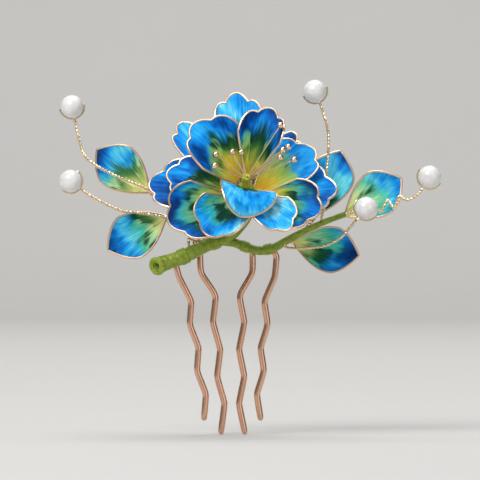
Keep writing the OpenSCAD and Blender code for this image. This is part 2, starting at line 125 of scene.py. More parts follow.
# Hairpin crowns behind the branch, x and z, and how far back each lies; the swell makes up for the rounding
OUTER_CROWN = [(-14, -0.56), (-6, 3.1), (-1, 4.6), (6.2, 2.3), (8.8, 1.9), (13, 3.24)]
INNER_CROWN = [(-7.4, 2.4), (-1, 4.6), (6.4, 2.26)]
OUTER_Y = 3.05
INNER_Y = 4.85
PIN_RADIUS = 0.85
PIN_MERGE = 1e-5
PIN_SWELL = 0.05
BINDING_SINK = 0.45
BINDINGS = [
    (-11.6, STEM_LINE, STEM_GIRTH, 0, [(OUTER_Y, OUTER_CROWN)]),
    (-3.6, STEM_LINE, STEM_GIRTH, 0, [(OUTER_Y, OUTER_CROWN), (INNER_Y, INNER_CROWN)]),
    (4.4, SIDE_LINE, SIDE_GIRTH, SIDE_Y, [(OUTER_Y, OUTER_CROWN), (INNER_Y, INNER_CROWN)]),
    (10.6, SIDE_LINE, SIDE_GIRTH, SIDE_Y, [(OUTER_Y, OUTER_CROWN)]),
]

# Flower: its heart, the axis it opens along and the knob that holds the petals
HEART = Vector((4.7, -8.5, 17.2))
FLOWER_TILT = 40
FLOWER = Matrix.Translation(HEART) @ Matrix.Rotation(radians(90 - FLOWER_TILT), 4, "X")
RECEPTACLE = [(-7, 1.7), (-5.4, 2.5), (0.4, 2.5), (1, 1.8), (2.4, 1.8)]
RECEPTACLE_TOP = RECEPTACLE[-1][0]
PETAL_ROOT = 1.5
PETAL_CLAW = 2.2
WIRE_ROOT = 0.6
PETAL_SHOULDER = 0.3
LOBE_DEPTH = 0.08
LOBE_POWER = 0.7
NOTCH_ROUND = 0.012
PISTIL_LENGTH = 2.9
PISTIL_RADIUS = 1.3
PISTIL_STRANDS = 11
PISTIL_STRAND = 0.76
PISTIL_RING = PISTIL_RADIUS - 0.4
PISTIL_RISE = 1.1
PISTIL_STEP = 0.3
PISTIL_SINK = 0.2
PISTIL_TWIST = 0.06
PISTIL_TAPER = 0.16

# A pistil strand with its round tip: shares of the length and of the thickness
STRAND = [(i / 10, 1) for i in range(9)] + [(0.88, 1), (0.94, 0.94), (0.98, 0.75), (1, 0.4)]

# Petals: azimuth, seat height, opening at the base and at the tip, length, half fan, cup radius, roll, lobes
Petal = namedtuple("Petal", "azimuth seat first final length fan cup roll lobes")
PETALS = [
    Petal(140, 1, 30, 76, 21, 38, 18, 0, 3),
    Petal(68, 1.5, 24, 76, 21, 25.5, 14, 0, 3),
    Petal(38, -3.2, 66, 90, 21.2, 33, 24, 0, 3),
    Petal(160.5, -3.4, 70, 96, 20.5, 28, 40, -12, 3),
    Petal(-23, -2.8, 66, 88, 19.9, 34, 40, 12, 3),
    Petal(205, -2.4, 80, 96, 20.5, 40, 30, -9, 3),
    Petal(235.2, -0.75, 73, 108, 16, 46.3, 12, 0, 3),
    Petal(-51, -0.1, 76, 98, 16, 34, 10, 0, 3),
    Petal(-85, 2.2, 18, 148, 12.5, 63, 30, -17, 1),
    Petal(96, -3.6, 45, 80, 28, 20, 22, 0, 3),
    Petal(126, -5.8, 65, 93, 28.6, 19, 24, 0, 3),
    Petal(164, -6, 76, 98, 24.8, 32, 24, 0, 3),
    Petal(5, -5.4, 66, 92, 22.6, 33, 24, 0, 3),
    Petal(58.5, -4.6, 68, 90, 23, 18, 24, 0, 3),
]

# Dye of each petal: how far the blue runs in towards the base, how pale it is and its own lot, then how far
# the yellow runs out, how blotted with dark green it is, how light its greens are, partly a paler dye and
# partly painted light for light through the silk and against shade, and where the blots gather
PETAL_DYES = [
    (0.04, -0.06, 61.3, 0.06, -0.02, 1.1, -0.3), (0.0, -0.16, 122.7, -0.02, 0.02, 1.0, -0.05),
    (0.1, 0.06, 34.1, 0.12, -0.3, 1.6, 0), (0.04, -0.16, 35.2, -0.04, 0.02, 1.0, -0.4),
    (-0.14, -0.26, 126.9, -0.06, -0.06, 1.0, 0), (-0.14, -0.26, 158.4, -0.08, -0.08, 1.1, 0.4),
    (0.02, 0.14, 9.6, -0.16, -0.04, 1.2, 0.2), (0.26, 0.22, 161.1, -0.1, -0.16, 1.2, 0),
    (0.4, 0.18, 162.5, 0.0, 0.0, 1.0, 0), (0.12, 0.12, 43.2, -0.1, -0.04, 1.0, -0.4),
    (0.22, 0.06, 164.8, -0.1, -0.1, 1.1, 0), (0.34, -0.24, 136.3, 0.0, 0.0, 1.0, 0),
    (0.32, 0.02, 17.7, 0.0, 0.0, 1.0, 0), (0.34, -0.26, 19.1, 0.0, 0.0, 1.0, 0),
]

# Stamens: azimuth, opening, length and how much higher than the others it leaves the pistil
STAMENS = [
    (158, 55, 10.3, 0), (183, 55, 9.9, 0), (138, 35, 8.4, 0), (108, 36.4, 7, 0.3), (46, 50, 16.5, 0),
    (20, 52.9, 14.4, -0.65), (14, 48.8, 12.8, 0.25), (6, 49.3, 11.6, -0.2), (4, 58.1, 14.5, -1.1),
]
STAMEN_SEAT = RECEPTACLE_TOP + 0.85 * PISTIL_LENGTH
STAMEN_START = 0.84 * PISTIL_RADIUS
STAMEN_BOW = 0.25
BEAD_BORE = 0.4
BEAD_FLOOR = 0.2
BEAD_GRIP = 0.6

# Leaves: base point, heading in the front plane, lean back, curl, fold; then the stem and the dye of each
LEAF_LENGTH = 17.5
LEAF_WIDTH = 12
LEAF_WIDEST = 0.6
LEAF_END = 0.985
LEAF_NECK = 0.08
LEAF_TAPER = 1.7
LEAF_SPINE = 0.8
LEAF_FAN = 60
LEAF_FAN_BACK = 3
LEAF_LAY = 2.2
STRAND_HALF = 0.36
STRAND_STEP = 0.15
RIM_STEP = 0.3
Leaf = namedtuple("Leaf", "base heading lean curl fold")
LEAVES = [
    Leaf((-20.8, 3.9, 17.4), 141, 3, 30, 8),
    Leaf((-16.4, 3.9, 10.7), 210, -2, 28, 8),
    Leaf((23.4, 3.9, 11.7), 70, 4, 30, 8),
    Leaf((17.2, 3.9, 4.2), -12, -2, 28, 8),
    Leaf((30.9, 3.9, 11.2), 34, 2, 30, 8),
]
LEAF_STEMS = [
    [(-7, 1, 3.7), (-10, 2.2, 8.2), (-15, 3.3, 13)],
    [(-8.1, 1, 3.2), (-11, 2.7, 7.2)],
    [(20.3, 1.1, 7.4), (21.6, 2.6, 9.2)],
    [(14.2, 1.2, 4), (15.6, 2.6, 4.2)],
    [(28.6, 1.1, 10.6), (29.7, 2.6, 10.9)],
]
LEAF_DYES = [
    (0.08, 0.1, 141.3, 0.18, 0.02, 1.3, 0.1), (0.1, 0.1, 112.9, 0.04, -0.02, 1.2, 0.5),
    (0.2, 0.24, 144.4, 0.0, 0.02, 1.1, 0.4), (0.06, 0.02, 25.8, 0.02, -0.04, 1.4, 0.4),
    (0.06, 0.3, 87.1, 0.1, -0.18, 1.3, 0),
]

# Silk: faces across and along a web, how far it swells in mm, and how many fibres lie side by side in a web
# of the usual width, drawn as locks so wide in mm
PETAL_GRID = (150, 26)
LEAF_GRID = (90, 44)
SWELL = 0.22
FIBRE_LOCK = 0.25
PETAL_FIBRES = 16.5 / FIBRE_LOCK
LEAF_FIBRES = 13.5 / FIBRE_LOCK

# Pearl sprays: root and stalk points in the front plane, how far forward the pearl stands, and where in the
# branch the wire's ends are bound
STALK_Y = 0.6
STALK_STEP = 0.12
STALK_CLOSE = 0.92
PEARL_CLEARANCE = 0.05
BORE_OVERHANG = 0.02
CRADLE_START = 8
STALKS = {
    "a": ([(-6.484, 5.289), (-12.6, 12), (-21.3, 18), (-28, 20.8), (-34.6, 24.2), (-37.6, 27), (-38.6, 30.2),
           (-39.5, 33.8)], 0, (-5.6, 0, 3.2)),
    "b": ([(-10.202, 3.585), (-10.5, 6.8), (-13.4, 9.2), (-17.8, 10.8), (-23.8, 11.8), (-28.1, 12.4),
           (-34.1, 15.2), (-36.8, 16.8)], 0, (-9.2, 0, 1.5)),
    "c": ([(15.161, 2.711), (17.7, 2.5), (21.6, 2.7), (24.9, 3.1), (27.8, 4.3), (30.1, 6.1), (32.6, 9)],
          3.76, (14.9, 0.5, 4)),
    "d": ([(30.86, 11.5), (34, 12), (38.5, 12.4), (39.9, 12.1), (41.4, 15), (43.2, 13.1), (44.5, 16),
           (46, 15.1), (47.6, 15.3), (49.6, 16.8)], 0, (29.8, 0.95, 11.1)),
    "e": ([(24.321, 10.394), (25, 13), (25.3, 16), (25.6, 22), (26.1, 28), (26, 33), (24.7, 38)], 0,
          (24.8, 0.95, 9.2)),
}

# Settings of the shader nodes that carry a value into a range and that mix colours
SMOOTH = {"interpolation_type": "SMOOTHSTEP"}
MIXED = {"data_type": "RGBA"}

# Metal finishes: roughness, and how much of the colour is left where handling has dulled it
PLATED = (0.32, 0.86)
POLISHED = (0.22, 0.92)
LACQUERED = (0.2, 0.94)
GREEN_FLOSS = "wound silk floss, green"
ROSE_GOLD = "plated wire, rose gold"

# Stage, in metres: the floor runs from FLOOR_NEAR to WALL_START and bends up to a wall behind every camera
FLOOR_NEAR = -2.2
FLOOR_WIDE = 6.0
FLOOR_GAP = 0.1 * MM
WALL_START = 1.8
WALL_BEND = 0.5
WALL_HIGH = 2.0
WALL_Y = WALL_START + WALL_BEND

# Lamps: place and target in metres, size in metres and power in watts
COMB_MIDDLE = (0.005, 0, 0.005)
LAMPS = {
    "key": ((-0.45, -0.7, 0.75), COMB_MIDDLE, 0.6, 9.5),
    "fill": ((0.7, -0.7, 0.2), COMB_MIDDLE, 0.7, 1.5),
    "top": ((0.1, 0.0, 0.9), COMB_MIDDLE, 0.6, 4.0),
    "backdrop": ((0, 0.9, 1.6), (0, WALL_Y, 0.2), 1.4, 27.0),
}
SKY_COLOUR = "#f4f4f2"
SKY_STRENGTH = 0.22

# Camera: how far off it stands and how wide a strip it shows there, in metres, and where it aims, in mm
CAMERA_FAR = 1.2
CAMERA_SHOWN = 124.8 * MM
CAMERA_AIM = (3.12, 4.68)
SENSOR = 36.0


def linear(code):
    """Scene-linear colour, with alpha, of an sRGB hex code."""
    parts = [int(code[i:i + 2], 16) / 255 for i in (1, 3, 5)]
    return [p / 12.92 if p <= 0.04045 else ((p + 0.055) / 1.055) ** 2.4 for p in parts] + [1.0]


def length_property(label, tells, millimetres):
    """Length that a user can change, with its default in mm."""
    return bpy.props.FloatProperty(
        name=label, description=tells, default=millimetres * MM, min=0, unit="LENGTH", precision=5
    )


def colour_property(label, tells, code):
    """Colour that a user can change, with its default as an sRGB hex code."""
    return bpy.props.FloatVectorProperty(
        name=label, description=tells, default=linear(code), size=4, min=0, max=1, subtype="COLOR"
    )


class CombSizes(bpy.types.PropertyGroup):
    """Sizes of the materials that the comb is made from."""

    petal_wire: length_property("Petal wire", "Diameter of the wire round each petal and leaf", 0.58)
    silk: length_property("Silk", "Thickness of the silk webs", 0.2)
    ripple: length_property("Silk ripple", "Height of the fine folds that run along the silk", 0.05)
    floss: length_property("Floss", "Diameter of the thread wound on the branch", 0.34)
    binding: length_property("Binding thread", "Diameter of the thread that binds the hairpins", 0.46)
    binding_width: length_property("Binding width", "Width of each thread binding", 2.6)
    spray_wire: length_property("Spray wire", "Diameter of one strand of a pearl's stalk", 0.44)
    spray_lay: length_property("Spray lay", "Length of one turn of the twisted stalk", 1.9)
    stamen_wire: length_property("Stamen wire", "Diameter of a stamen's filament", 0.35)
    stamen_bead: length_property("Stamen bead", "Diameter of the bead on a stamen", 1.7)


class CombColours(bpy.types.PropertyGroup):
    """Colours of the comb's materials."""

    gold: colour_property("Gold wire", "Plated wire of petals, leaves and stamens", "#f0d0b0")
    spray: colour_property("Spray wire", "Plated wire of the pearl stalks", "#f2dcb8")
    copper: colour_property("Hairpins", "Lacquered copper of the hairpins", "#e2b498")
    thread: colour_property("Thread", "Green floss of the branch", "#8ca03a")
    pistil: colour_property("Pistil", "Yellow-green floss of the pistil", "#c2c04c")
    pearl: colour_property("Pearl", "Body of the pearls", "#e8e8e6")
    floor: colour_property("Floor", "Floor and backdrop", "#c6c5c3")


def lookup(x, table):
    """Value of a table of x and value pairs at x, held level past its ends."""
    if x <= table[0][0]:
        return table[0][1]
    for (x0, v0), (x1, v1) in zip(table, table[1:]):
        if x <= x1:
            return v0 + (v1 - v0) * (x - x0) / (x1 - x0)
    return table[-1][1]


def smooth_line(points, steps):
    """Catmull-Rom curve through the points, with that many steps between two of them."""
    points = [Vector(p) for p in points]
    line = []
    for i in range(len(points) - 1):
        a, b = points[max(i - 1, 0)], points[i]
        c, d = points[i + 1], points[min(i + 2, len(points) - 1)]
        for s in range(steps):
            t = s / steps
            line.append(
                (2 * b + (c - a) * t + (2 * a - 5 * b + 4 * c - d) * t ** 2
                 + (3 * b - a - 3 * c + d) * t ** 3) / 2
            )
    return line + [points[-1]]


def stations(path, gap):
    """Even steps along a path: the leg that each falls on, its share of that leg and how far along it is."""
    lengths = [0.0]
    for a, b in zip(path, path[1:]):
        lengths.append(lengths[-1] + (b - a).length)
    count = max(2, round(lengths[-1] / gap))
    k = 0
    for i in range(count + 1):
        s = lengths[-1] * i / count
        while k < len(path) - 2 and lengths[k + 1] < s:
            k += 1
        step = lengths[k + 1] - lengths[k]
        yield k, (s - lengths[k]) / step if step else 0, s


def even_line(path, gap):
    """Points along a path at about that distance from each other."""
    return [path[k].lerp(path[k + 1], t) for k, t, _ in stations(path, gap)]


def side_frames(path):
    """Two directions across each point of a path, carried along it without twist."""
    frames = []
    across = None
    for i in range(len(path)):
        along = (path[min(i + 1, len(path) - 1)] - path[max(i - 1, 0)]).normalized()
        if across is None:
            across = along.orthogonal()
        across = (across - along * across.dot(along)).normalized()
        frames.append((across, along.cross(across)))
    return frames


def around(one, two, angle):
    """Direction at an angle between two that are square to each other."""
    return one * cos(angle) + two * sin(angle)


def coil(path, radii, lay, samples):
    """Line that winds round a path, one turn in each lay, at a radius for each point of the path."""
    frames = side_frames(path)
    line = []
    for k, t, s in stations(path, lay / samples):
        radius = radii[k] + (radii[k + 1] - radii[k]) * t
        one, two = (a.lerp(b, t).normalized() for a, b in zip(frames[k], frames[k + 1]))
        line.append(path[k].lerp(path[k + 1], t) + around(one, two, TURN * s / lay) * radius)
    return line


def twisted(path, side, turns, half):
    """Two strands wound round each other along a path; the first ends on the given side of it."""
    frames = side_frames(path)
    final = atan2(side.dot(frames[-1][1]), side.dot(frames[-1][0]))
    there, back = [], []
    for i, (p, (one, two)) in enumerate(zip(path, frames)):
        aside = around(one, two, final - TURN * turns * (1 - i / (len(path) - 1))) * half
        there.append(p + aside)
        back.append(p - aside)
    return there, back


def pick(obj):
    """Makes obj the only selected and active object."""
    bpy.ops.object.select_all(action="DESELECT")
    obj.select_set(True)
    bpy.context.view_layer.objects.active = obj


def added(name):
    """The object that the last operator added, under its own name, at the origin."""
    obj = bpy.context.object
    obj.name = name
    obj.data.name = name
    return obj


def edit(obj):
    """Opens obj in edit mode with all of it selected."""
    pick(obj)
    bpy.ops.object.mode_set(mode="EDIT")
    bpy.ops.mesh.select_all(action="SELECT")


def apply_modifier(obj, name, kind, **settings):
    """Adds a modifier with its settings and applies it."""
    modifier = obj.modifiers.new(name, kind)
    for key, value in settings.items():
        setattr(modifier, key, value)
    pick(obj)
    bpy.ops.object.modifier_apply(modifier=name)


def wire(name, paths, diameter, roundness, radii=None):
    """Round wire along paths in mm, a curve turned into a mesh; radii are shares of half the diameter."""
    bpy.ops.object.select_all(action="DESELECT")
    bpy.ops.curve.primitive_nurbs_path_add(location=(0, 0, 0))
    obj = added(name)
    drawn = obj.data
    drawn.splines.clear()
    for path in paths:
        spline = drawn.splines.new("POLY")
        spline.points.add(len(path) - 1)
        for i, (point, place) in enumerate(zip(spline.points, path)):
            point.co = (*(place * MM), 1)
            point.radius = radii[i] if radii else 1
    drawn.bevel_depth = diameter / 2
    drawn.bevel_resolution = roundness
    drawn.use_fill_caps = True
    bpy.ops.object.convert(target="MESH")
    return added(name)


def grid(name, columns, rows):
    """Flat grid, one by one, to be bent into shape."""
    bpy.ops.object.select_all(action="DESELECT")
    bpy.ops.mesh.primitive_grid_add(x_subdivisions=columns, y_subdivisions=rows, size=1, location=(0, 0, 0))
    return added(name)


def lathe(name, profile, place, steps):
    """Solid of revolution of a profile of radius and height in mm, turned about Z and put at a place."""
    bpy.ops.object.select_all(action="DESELECT")
    bpy.ops.mesh.primitive_plane_add(size=1, location=(0, 0, 0))
    obj = added(name)
    edit(obj)
    bpy.ops.mesh.delete(type="VERT")
    bpy.ops.object.mode_set(mode="OBJECT")
    mesh = obj.data
    mesh.vertices.add(len(profile))
    mesh.edges.add(len(profile) - 1)
    for vertex, (radius, height) in zip(mesh.vertices, profile):
        vertex.co = (radius * MM, 0, height * MM)
    for i, edge in enumerate(mesh.edges):
        edge.vertices = (i, i + 1)
    edit(obj)
    bpy.ops.mesh.spin(steps=steps, angle=TURN, center=(0, 0, 0), axis=(0, 0, 1))
    bpy.ops.object.mode_set(mode="OBJECT")
    mesh.transform(place)
    return obj


def join(name, objects):
    """One object out of several."""
    bpy.ops.object.select_all(action="DESELECT")
    for obj in objects:
        obj.select_set(True)
    bpy.context.view_layer.objects.active = objects[0]
    bpy.ops.object.join()
    return added(name)


def settle(obj, material, body, slot, *nodes, crease=40):
    """Cleans a finished piece, gives it its material and ties it to the frame."""
    edit(obj)
    bpy.ops.mesh.remove_doubles(threshold=MERGE)
    bpy.ops.mesh.normals_make_consistent(inside=False)
    bpy.ops.object.mode_set(mode="OBJECT")
    bpy.ops.object.shade_smooth_by_angle(angle=radians(crease))
    obj.data.materials.clear()
    obj.data.materials.append(material)
    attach(obj, body)
    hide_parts(*nodes)


def add_node(tree, kind, inputs, output=0, **settings):
    """Adds a shader node and returns one of its outputs; each input is a socket to link to or a value."""
    made = tree.nodes.new("ShaderNode" + kind)
    for key, value in settings.items():
        setattr(made, key, value)
    for key, value in inputs.items():
        if isinstance(value, bpy.types.NodeSocket):
            tree.links.new(value, made.inputs[key])
        else:
            made.inputs[key].default_value = value
    return made.outputs[output]


def surface(name, **values):
    """New material and its Principled shader, with fixed values on its sockets."""
    material = bpy.data.materials.new(name)
    material.use_nodes = True
    shader = material.node_tree.nodes["Principled BSDF"]
    for key, value in values.items():
        shader.inputs[key.replace("_", " ")].default_value = value
    return material, material.node_tree, shader


def speckle(tree, size):
    """Noise in object coordinates with features of that size in mm."""
    place = add_node(tree, "TexCoord", {}, "Object")
    return add_node(tree, "TexNoise", {"Vector": place, "Scale": 1 / (size * MM), "Detail": 2.0}, "Fac")


def cloud(tree, shader, size, low, high, one, two):
    """Gives the shader a colour that drifts from one to another in clouds of that size in mm."""
    share = add_node(tree, "MapRange", {0: speckle(tree, size), 1: low, 2: high}, **SMOOTH)
    colour = add_node(tree, "Mix", {0: share, 6: list(one), 7: list(two)}, 2, **MIXED)
    tree.links.new(colour, shader.inputs["Base Color"])


def wear_and_painted_light_share(colour, share):
    """A share of a colour, with full alpha: dulled wear on metal, painted light and shade on the thread, a
    faint mottle on the floor.
    """
    return [c * share for c in colour[:3]] + [1.0]


def silk_material(name, grounds, deeps, blues, edge, sink, fibres):
    """Dyed floss silk laid from the base to the rim: clouded blue bleeds over green and dark green blots.
    Real fibres are too fine to show, so each is drawn as coarse as a lock of them; fibres is how many lie
    side by side. edge is where the blue begins and is full, and sink how much it deepens to the tip.
    Pale cyan in the blue clouds is partly dye and partly painted sheen, the streaks along the fibres lighten
    and darken it as their own tone and as painted sheen, and each web's greens are lightened by its own
    share, partly paler dye and partly painted light."""
    material, tree, shader = surface(name, Roughness=0.5, Specular_IOR_Level=0.05)
    place = add_node(tree, "UVMap", {}, uv_map="UVMap")
    dye = add_node(tree, "Attribute", {}, "Vector", attribute_name="dye")
    base = add_node(tree, "Attribute", {}, "Vector", attribute_name="base")
    gather = add_node(tree, "Attribute", {}, "Fac", attribute_name="gather")
    across, along, _ = add_node(tree, "SeparateXYZ", {0: place}).node.outputs
    reach, pale, lot = add_node(tree, "SeparateXYZ", {0: dye}).node.outputs
    warm, blotted, greens_lift_and_painted_light = add_node(tree, "SeparateXYZ", {0: base}).node.outputs
    laid = add_node(tree, "CombineXYZ", {0: across, 1: along, 2: lot})

    def streaks(many, long, shift, detail):
        """Noise about 0 with so many features across the silk and so many along it."""
        scaled = {0: laid, 1: (many, long, 1.0), 2: (0.0, 0.0, shift)}
        where = add_node(tree, "VectorMath", scaled, operation="MULTIPLY_ADD")
        drawn = add_node(tree, "TexNoise", {"Vector": where, "Scale": 1.0, "Detail": detail}, "Fac")
        return stirred(-0.5, (drawn, 1.0))

    def stirred(value, *shares):
        """Value with a share of each source added."""
        for source, weight in shares:
            value = add_node(tree, "Math", {0: source, 1: weight, 2: value}, operation="MULTIPLY_ADD")
        return value

    fibre = streaks(fibres, 5.0, 0.0, 2.0)
    feather = streaks(fibres / 3, 3.2, 3.7, 2.0)
    patch = streaks(2.6, 2.2, 7.1, 1.0)
    # Clouds in the blue: partly tie-dye, partly painted sheen where they reach the pale cyan
    dye_clouds_and_painted_sheen = streaks(3.0, 2.4, 13.3, 2.0)
    spots = streaks(4.2, 3.4, 19.3, 1.0)
    tide = stirred(along, (reach, 1.0), (fibre, 0.08), (feather, 0.2), (patch, 0.62))
    sunk = stirred(tide, (warm, -1.0))
    tone = stirred(0.5 + 0.6 * sink, (pale, 1.0), (dye_clouds_and_painted_sheen, 1.4), (feather, 0.35), (along, -sink))
    aside = stirred(-1.0, (across, 2.0), (gather, -1.0))
    away = add_node(tree, "Math", {0: aside}, operation="ABSOLUTE")
    blot = stirred(spots, (feather, 0.3), (away, -0.2), (blotted, 1.0))
    dyes = []
    for factor, stops in ((sunk, grounds), (sunk, deeps), (tone, blues)):
        dyes.append(add_node(tree, "ValToRGB", {0: factor}))
        elements = dyes[-1].node.color_ramp.elements
        while len(elements) < len(stops):
            elements.new(0.5)
        for element, (position, code) in zip(elements, stops):
            element.position = position
            element.color = linear(code)
    blot = add_node(tree, "MapRange", {0: blot, 1: -0.21, 2: -0.06}, **SMOOTH)
    tide = add_node(tree, "MapRange", {0: tide, 1: edge[0], 2: edge[1]}, **SMOOTH)
    # Painted sheen along the fibres, with their own tone: the colour is lightened and darkened streak by
    # streak
    fibre_tone_and_painted_sheen = add_node(tree, "MapRange", {0: fibre, 1: -0.3, 2: 0.3, 3: 0.7, 4: 1.3}, **SMOOTH)
    ground = add_node(tree, "Mix", {0: blot, 6: dyes[0], 7: dyes[1]}, 2, **MIXED)
    # Each web's own lift of its greens: partly a paler dye, partly painted light for light through the silk
    # and against shade
    ground = add_node(tree, "Mix", {0: 1.0, 6: ground, 7: greens_lift_and_painted_light}, 2, **MIXED, blend_type="MULTIPLY")
    colour = add_node(tree, "Mix", {0: tide, 6: ground, 7: dyes[2]}, 2, **MIXED)
    colour = add_node(tree, "Mix", {0: 1.0, 6: colour, 7: fibre_tone_and_painted_sheen}, 2, **MIXED, blend_type="MULTIPLY")
    tree.links.new(colour, shader.inputs["Base Color"])
    relief = add_node(tree, "Bump", {"Height": fibre, "Strength": 0.4, "Distance": 0.05 * MM})
    tree.links.new(relief, shader.inputs["Normal"])
    return material


def petal_silk(name):
    """Petal silk: golden at the base, through yellow-green and dark green to clouded blues at the rim, whose
    pale cyan clouds are partly painted sheen.
    """
    return silk_material(
        name,
        [(0.0, "#dcae34"), (0.2, "#ccbc44"), (0.34, "#acb850"), (0.46, "#82a85a"), (0.58, "#62a074"),
         (0.7, "#40988a"), (0.8, "#2498ac")],
        [(0.0, "#dcae34"), (0.22, "#b4ac3a"), (0.34, "#7c9034"), (0.44, "#30602e"), (0.56, "#0e3a26"),
         (0.7, "#0a382e"), (0.82, "#0b5470")],
        [(0.1, "#022c62"), (0.28, "#0450a0"), (0.42, "#0876cc"), (0.56, "#1696e8"), (0.68, "#32b0f4"),
         (0.8, "#5ccaf8"), (0.94, "#a8e8fa")],
        (0.64, 0.82), 0.0, PETAL_FIBRES,
    )


def leaf_silk(name):
    """Leaf silk: pale green at the base, dark green in the middle and blue that deepens to the tip."""
    return silk_material(
        name,
        [(0.0, "#e6de8c"), (0.16, "#ccd48c"), (0.34, "#98c494"), (0.48, "#50b090"), (0.6, "#2eaa98"),
         (0.74, "#28acb4")],
        [(0.0, "#d8d484"), (0.16, "#9cb068"), (0.3, "#4a7c44"), (0.44, "#175032"), (0.6, "#0c4234"),
         (0.74, "#0f5466")],
        [(0.1, "#042c62"), (0.3, "#084e98"), (0.46, "#127acc"), (0.62, "#2ea6e4"), (0.84, "#66d4e4")],
        (0.54, 0.76), 0.8, LEAF_FIBRES,
    )


def metal_material(name, colour, rough, wear):
    """Drawn wire, plated and polished: clean bright lines with faint dulling from handling."""
    material, tree, shader = surface(name, Metallic=1.0)
    cloud(tree, shader, 4.0, 0.35, 0.7, colour, wear_and_painted_light_share(colour, wear))
    worn = {0: speckle(tree, 2.5), 1: 0.3, 2: 0.7, 3: rough, 4: rough + 0.04}
    tree.links.new(add_node(tree, "MapRange", worn, **SMOOTH), shader.inputs["Roughness"])
    return material


def thread_material(name, colour):
    """Silk floss wound by hand: lustrous strands. Its colour drifts in clouds between a lighter copy, painted
    light for lit turns, and a darker copy, painted shade for furrows.
    """
    material, tree, shader = surface(
        name, Roughness=0.4, Specular_IOR_Level=1.0, Specular_Tint=linear("#e8f29a")
    )
    # Painted light and shade: clouds of a darker copy of the colour for furrows and a lighter copy for lit
    # turns
    cloud(tree, shader, 1.1, 0.3, 0.7, wear_and_painted_light_share(colour, 0.7525), wear_and_painted_light_share(colour, 1.1375))
    relief = {"Height": speckle(tree, 0.12), "Strength": 0.15, "Distance": 0.03 * MM}
    tree.links.new(add_node(tree, "Bump", relief), shader.inputs["Normal"])
    return material


def pearl_material(name, colour):
    """Glass pearl dipped in nacre lacquer: a soft body under a clear gloss, faintly clouded with rose."""
    material, tree, shader = surface(
        name, Roughness=0.2, Coat_Weight=0.6, Coat_Roughness=0.06, Subsurface_Weight=0.1,
        Subsurface_Scale=1.0 * MM,
    )
    rosy = [c * share for c, share in zip(colour, (0.9, 0.875, 0.88, 1.0))]
    cloud(tree, shader, 1.5, 0.3, 0.7, colour, rosy)
    return material


def plain_material(name, colour):
    """Matt painted board for the floor, with a faint mottle."""
    material, tree, shader = surface(name, Roughness=0.9, Specular_IOR_Level=0.1)
    cloud(tree, shader, 60.0, 0.0, 1.0, colour, wear_and_painted_light_share(colour, 0.985))
    return material


def finish_of(make, name, *given):
    """The material of that name, made the first time that it is asked for."""
    return bpy.data.materials.get(name) or make(name, *given)


def sine(angle):
    """Sine of an angle in degrees."""
    return sin(radians(angle))


def cosine(angle):
    """Cosine of an angle in degrees."""
    return cos(radians(angle))


def petal_rim(petal, angle):
    """Distance from a petal's base to its rim at an angle from its spine."""
    t = angle / petal.fan
    wave = sqrt(sine(90 * petal.lobes * (t + 1)) ** 2 + NOTCH_ROUND)
    notch = LOBE_DEPTH * (1 - min(1, wave ** LOBE_POWER))
    return petal.length * (1 - PETAL_SHOULDER * t * t) * (1 - notch)


def petal_point(petal, angle, reach, lift):
    """Point of a petal at an angle from its spine and a distance from its base, lifted off it, in mm."""
    azimuth, seat, first, final, length, _, cup, roll, _ = petal
    bend = (final - first) / length
    opening = first + bend * reach * cosine(angle)
    turn = degrees(1) / bend
    out = PETAL_ROOT + (cosine(first) - cosine(opening)) * turn
    up = seat + (sine(opening) - sine(first)) * turn
    curl = reach * sine(angle) / cup
    across = (cup - lift) * sin(curl)
    rise = cup - (cup - lift) * cos(curl)
    side = across * cosine(roll) - rise * sine(roll)
    high = across * sine(roll) + rise * cosine(roll)
    radius = out - high * cosine(opening)
    local = Vector((
        radius * cosine(azimuth) - side * sine(azimuth),
        radius * sine(azimuth) + side * cosine(azimuth),
        up + high * sine(opening),
    ))
    return FLOWER @ local


def petal_border(petal, steps):
    """Line of a petal's wire, up one side, round the rim and down the other."""
    fan = petal.fan
    edge = petal_rim(petal, fan)
    side = [WIRE_ROOT + (edge - WIRE_ROOT) * i / steps for i in range(steps)]
    rim = [fan * (i / (2 * steps) - 1) for i in range(4 * steps + 1)]
    border = [(-fan, r) for r in side] + [(a, petal_rim(petal, a)) for a in rim]
    border += [(fan, r) for r in reversed(side)]
    return [petal_point(petal, a, r, 0) for a, r in border]


def leaf_half(t):
    """Half width of a leaf a share t of the way from its base to its tip."""
    if t < LEAF_WIDEST:
        return LEAF_WIDTH / 2 * (LEAF_NECK + (1 - LEAF_NECK) * sine(90 * t / LEAF_WIDEST))
    return LEAF_WIDTH / 2 * (1 - ((t - LEAF_WIDEST) / (1 - LEAF_WIDEST)) ** LEAF_TAPER)


def leaf_point(leaf, t, u, lift):
    """Point of a leaf a share t along it and a distance u to its left, lifted off it, in mm."""
    base, heading, lean, curl, fold = leaf
    bend = curl / LEAF_LENGTH
    turn = degrees(1) / bend
    start = lean - curl / 2
    angle = start + curl * t
    along = (sine(angle) - sine(start)) * turn
    back = (cosine(start) - cosine(angle)) * turn
    tilt = fold * max(-1, min(1, u / LEAF_SPINE))
    side = u * cosine(tilt) + lift * sine(tilt)
    rise = -u * sine(tilt) - lift * cosine(tilt)
    x = along - rise * sine(angle)
    y = back + rise * cosine(angle)
    return Vector(base) + Vector((
        x * cosine(heading) - side * sine(heading), y, x * sine(heading) + side * cosine(heading)
    ))


def leaf_fan(across, along):
    """Place on a leaf by its fibres, which fan out from behind its base: shares of the fan and the length."""
    t = LEAF_END * along
    ahead, aside = t * LEAF_LENGTH + LEAF_FAN_BACK, across * leaf_half(t)
    angle = degrees(atan2(aside, ahead))
    return 0.5 + angle / LEAF_FAN, (hypot(ahead, aside) - LEAF_FAN_BACK) / LEAF_LENGTH


